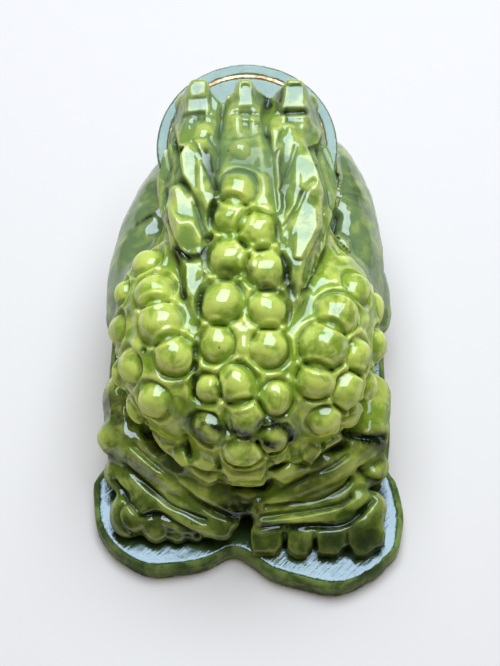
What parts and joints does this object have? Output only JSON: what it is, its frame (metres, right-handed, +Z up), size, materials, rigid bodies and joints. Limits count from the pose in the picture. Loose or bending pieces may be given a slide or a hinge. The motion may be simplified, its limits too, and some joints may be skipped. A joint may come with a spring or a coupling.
{
  "type": "toad figurine",
  "caption": "Carved and polished green stone toad on a lobed slab, covered in round pearls, with a loose holed coin that slides in its open mouth.",
  "frame": {"origin": "centre of the bounding box on the slab's flat underside", "axes": "+Y along the length from the rump to the coin in the mouth, +X to the toad's right, +Z up"},
  "size_m": [0.0689, 0.1114, 0.0611],
  "materials": {
    "jade": "waxed gloss polish, yellow-green with dark veins",
    "dark_jade": "waxed gloss polish, dark green",
    "coin_jade": "waxed gloss polish, green",
    "gilding": "thin copper-gold paint in engraved lines"
  },
  "bodies": {
    "toad": {"base_slab": "dark_jade", "torso": "jade", "left_haunch": "jade", "right_haunch": "jade", "chest": "jade", "head": "jade", "lower_lip": "jade", "nose": "jade", "left_eyelid": "jade", "right_eyelid": "jade", "left_eye": "jade", "right_eye": "jade", "left_ear": "jade", "right_ear": "jade", "left_hind_leg": "dark_jade", "right_hind_leg": "dark_jade", "left_hind_foot": "dark_jade", "right_hind_foot": "dark_jade", "left_foreleg": "dark_jade", "right_foreleg": "dark_jade", "left_forefoot": "dark_jade", "right_forefoot": "dark_jade", "rump_scales": "jade", "spine_pearls": "jade", "left_flank_pearls": "jade", "right_flank_pearls": "jade"},
    "coin": {"coin": "coin_jade", "coin_ring_inlay": "gilding", "coin_ray_inlay": "gilding", "coin_blossom_inlay": "gilding"}
  },
  "joints": [
    {"name": "coin_slide", "type": "slide", "parent": "toad", "child": "coin", "axis": [0, 0.9781, 0.2079], "range_m": [0, 0.03]}
  ]
}
